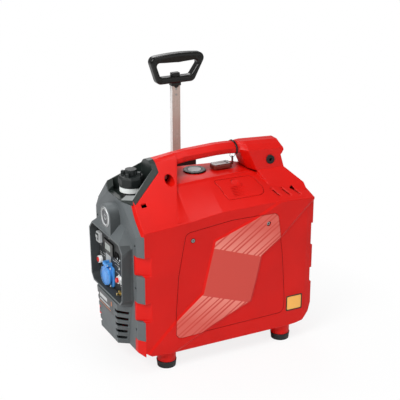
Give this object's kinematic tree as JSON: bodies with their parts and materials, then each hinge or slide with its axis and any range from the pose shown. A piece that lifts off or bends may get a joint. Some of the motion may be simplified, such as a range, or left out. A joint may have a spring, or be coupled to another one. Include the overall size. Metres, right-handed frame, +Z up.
{
  "type": "portable inverter generator",
  "caption": "Suitcase petrol inverter generator with a carry handle, telescopic trolley pole, wheels, console with socket, fuel cap and gauge.",
  "frame": {"origin": "on the ground, in the middle of the case's box", "axes": "+X from the console at the front to the exhaust at the rear, -Y towards the side with the maintenance cover, +Z up"},
  "size_m": [0.5, 0.285, 0.71],
  "materials": {
    "red_plastic": "satin",
    "grey_plastic": "satin",
    "black_plastic": "satin",
    "gloss_black": "gloss",
    "rubber": "matte",
    "fuel_tank": "satin",
    "white_plastic": "gloss",
    "clear_lens": "gloss",
    "lcd": "gloss",
    "silver_plastic": "satin",
    "chrome": "polished",
    "button_grey": "satin",
    "signal_red": "gloss",
    "socket_blue": "gloss",
    "steel": "brushed",
    "brass": "satin",
    "aluminium": "satin",
    "battery": "satin",
    "fob_brown": "gloss"
  },
  "bodies": {
    "case": {"near_shell": "red_plastic", "far_shell": "red_plastic", "side_cover": "red_plastic", "case_screws": "steel", "front_panel": "grey_plastic", "rear_cover": "grey_plastic", "fuel_collar": "black_plastic", "fuel_tank": "fuel_tank", "gauge_ring": "black_plastic", "gauge_lens": "clear_lens", "handle_plug": "rubber", "rubber_feet": "rubber", "wheel_axles": "steel", "base_tray": "black_plastic", "drain_tube": "rubber", "console_plate": "black_plastic", "display_bezel": "gloss_black", "display_window": "lcd", "rocker_bezel": "silver_plastic", "start_ring": "chrome", "breaker_collars": "white_plastic", "socket_base": "socket_blue", "socket_hinge_pin": "steel", "dc_socket": "black_plastic", "indicator_lamps": "signal_red", "ground_stud": "steel", "trolley_guide": "aluminium", "trolley_bracket": "black_plastic", "key_strap": "rubber", "crankcase": "aluminium", "cylinder": "aluminium", "spark_plug": "steel", "piston": "aluminium", "stator": "steel", "carburettor": "black_plastic", "air_filter": "black_plastic", "muffler": "steel", "inverter_module": "aluminium", "battery": "battery"},
    "plug_lid": {"plug_lid": "red_plastic"},
    "cap_gasket": {"cap_gasket": "white_plastic"},
    "fuel_cap": {"fuel_cap": "black_plastic"},
    "vent_knob": {"vent_knob": "black_plastic"},
    "front_wheel": {"front_wheel": "rubber"},
    "rear_wheel": {"rear_wheel": "rubber"},
    "rocker_switch": {"rocker_switch": "gloss_black"},
    "start_button": {"start_button": "button_grey"},
    "dc_breaker": {"dc_breaker": "signal_red"},
    "ac_breaker": {"ac_breaker": "signal_red"},
    "socket_lid": {"socket_lid": "socket_blue"},
    "wing_nut": {"wing_nut": "brass"},
    "trolley": {"trolley_pole": "aluminium", "trolley_grip": "gloss_black"},
    "grip_button": {"grip_button": "gloss_black"},
    "remote": {"key_ring": "chrome", "remote_fob": "fob_brown"},
    "crank": {"crankshaft": "steel", "rotor": "steel", "cooling_fan": "black_plastic"},
    "oil_cap": {"oil_cap": "gloss_black"}
  },
  "joints": [
    {"name": "plug_lid_lift", "type": "slide", "parent": "case", "child": "plug_lid", "axis": [0, 0, 1], "range_m": [0, 0.05]},
    {"name": "fuel_cap_lift", "type": "slide", "parent": "case", "child": "cap_gasket", "axis": [0, 0, 1], "range_m": [0, 0.0121]},
    {"name": "fuel_cap_turn", "type": "hinge", "parent": "cap_gasket", "child": "fuel_cap", "pos_m": [-0.1785, 0, 0.44], "axis": [0, 0, 1], "range_deg": [0, 1080]},
    {"name": "vent_knob_turn", "type": "hinge", "parent": "fuel_cap", "child": "vent_knob", "pos_m": [-0.1785, 0, 0.465], "axis": [0, 0, 1], "range_deg": [0, 90]},
    {"name": "front_wheel_spin", "type": "hinge", "parent": "case", "child": "front_wheel", "pos_m": [-0.144, 0.096, 0.042], "axis": [1, 0, 0], "continuous": true},
    {"name": "rear_wheel_spin", "type": "hinge", "parent": "case", "child": "rear_wheel", "pos_m": [0.177, 0.096, 0.042], "axis": [1, 0, 0], "continuous": true},
    {"name": "rocker_tilt", "type": "hinge", "parent": "case", "child": "rocker_switch", "pos_m": [-0.236, 0.082, 0.281], "axis": [0, 1, 0], "range_deg": [0, 16]},
    {"name": "start_press", "type": "slide", "parent": "case", "child": "start_button", "axis": [1, 0, 0], "range_m": [0, 0.003], "stiffness_N_per_m": 600, "springref_m": -0.002},
    {"name": "dc_breaker_press", "type": "slide", "parent": "case", "child": "dc_breaker", "axis": [1, 0, 0], "range_m": [0, 0.003], "stiffness_N_per_m": 600, "springref_m": -0.002},
    {"name": "ac_breaker_press", "type": "slide", "parent": "case", "child": "ac_breaker", "axis": [1, 0, 0], "range_m": [0, 0.003], "stiffness_N_per_m": 600, "springref_m": -0.002},
    {"name": "socket_lid_swing", "type": "hinge", "parent": "case", "child": "socket_lid", "pos_m": [-0.241, 0.024, 0.232], "axis": [0, 1, 0], "range_deg": [0, 95], "stiffness_Nm_per_rad": 0.02, "springref_deg": -17.19},
    {"name": "wing_nut_turn", "type": "hinge", "parent": "case", "child": "wing_nut", "pos_m": [-0.235, -0.052, 0.1835], "axis": [1, 0, 0], "range_deg": [0, 720]},
    {"name": "trolley_slide", "type": "slide", "parent": "case", "child": "trolley", "axis": [0, 0, 1], "range_m": [-0.165, 0.11]},
    {"name": "grip_button_press", "type": "slide", "parent": "trolley", "child": "grip_button", "axis": [0, 0, -1], "range_m": [0, 0.005], "stiffness_N_per_m": 800, "springref_m": -0.003},
    {"name": "remote_swivel", "type": "hinge", "parent": "case", "child": "remote", "pos_m": [0.095, 0, 0.47], "axis": [0, 0, 1], "range_deg": [-20, 20]},
    {"name": "crank_spin", "type": "hinge", "parent": "case", "child": "crank", "pos_m": [0.075, 0, 0.165], "axis": [1, 0, 0], "continuous": true},
    {"name": "oil_cap_turn", "type": "hinge", "parent": "case", "child": "oil_cap", "pos_m": [0.075, -0.066, 0.11], "axis": [0, 1, 0], "range_deg": [0, 360]}
  ],
  "couplings": [
    {"joint": "fuel_cap_lift", "follows": "fuel_cap_turn", "m_per_rad": 0.00063662}
  ]
}
